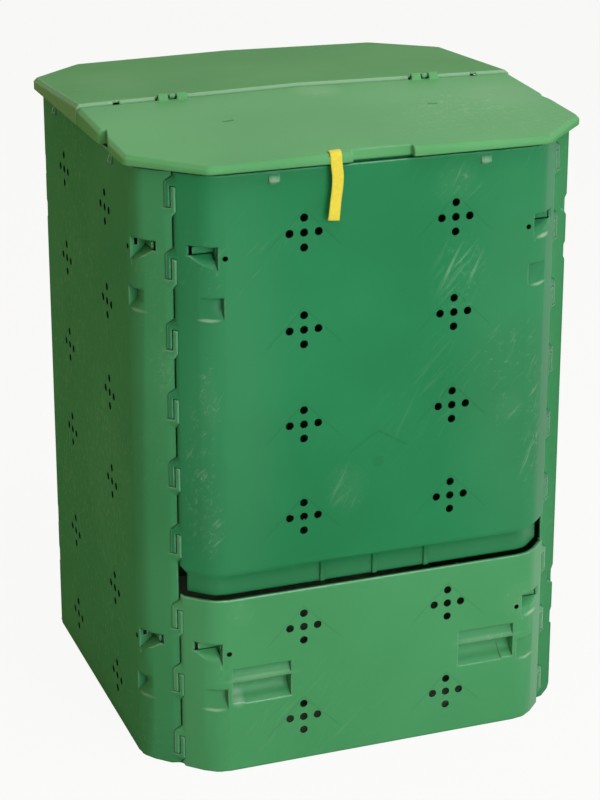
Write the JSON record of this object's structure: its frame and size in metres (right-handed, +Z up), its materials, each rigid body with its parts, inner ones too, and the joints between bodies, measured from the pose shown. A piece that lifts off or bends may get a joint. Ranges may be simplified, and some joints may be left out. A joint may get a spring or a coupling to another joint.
{
  "type": "compost bin",
  "caption": "Free-standing square garden compost bin of vented panels hooked together at cut corners, with a lift-out door and a hinged half lid with a pull strap.",
  "frame": {"origin": "centre of the base on the ground", "axes": "+Z up, the front with the door faces -Y, +X to the right as seen from the front's rear, so the strap is at -X"},
  "size_m": [0.824, 0.8276, 1.1249],
  "materials": {
    "wall_plastic": "moulded green polyethylene, satin, lightly scuffed",
    "lid_plastic": "moulded green polyethylene, fine-grained, sun-paled",
    "pin_plastic": "dark green plastic rod",
    "strap_webbing": "woven yellow webbing"
  },
  "bodies": {
    "bin": {"left_wall": "wall_plastic", "right_wall": "wall_plastic", "rear_wall": "wall_plastic", "front_upper_wall": "wall_plastic", "rear_lid": "lid_plastic", "left_hinge_pin": "pin_plastic", "right_hinge_pin": "pin_plastic"},
    "front_lid": {"front_lid": "lid_plastic", "lid_strap_root": "strap_webbing"},
    "front_door": {"front_door": "wall_plastic"},
    "lid_strap": {"lid_strap_tail": "strap_webbing"}
  },
  "joints": [
    {"name": "front_lid_hinge", "type": "hinge", "parent": "bin", "child": "front_lid", "pos_m": [0, -0.013, 1.1195], "axis": [-1, 0, 0], "range_deg": [0, 110]},
    {"name": "front_door_lift", "type": "slide", "parent": "bin", "child": "front_door", "axis": [0, 0, 1], "range_m": [0, 0.04]},
    {"name": "strap_swing", "type": "hinge", "parent": "front_lid", "child": "lid_strap", "pos_m": [-0.084, -0.4133, 1.0784], "axis": [-1, 0, 0], "range_deg": [-90, 0]}
  ],
  "couplings": [
    {"joint": "strap_swing", "follows": "front_lid_hinge", "ratio": -0.818}
  ]
}
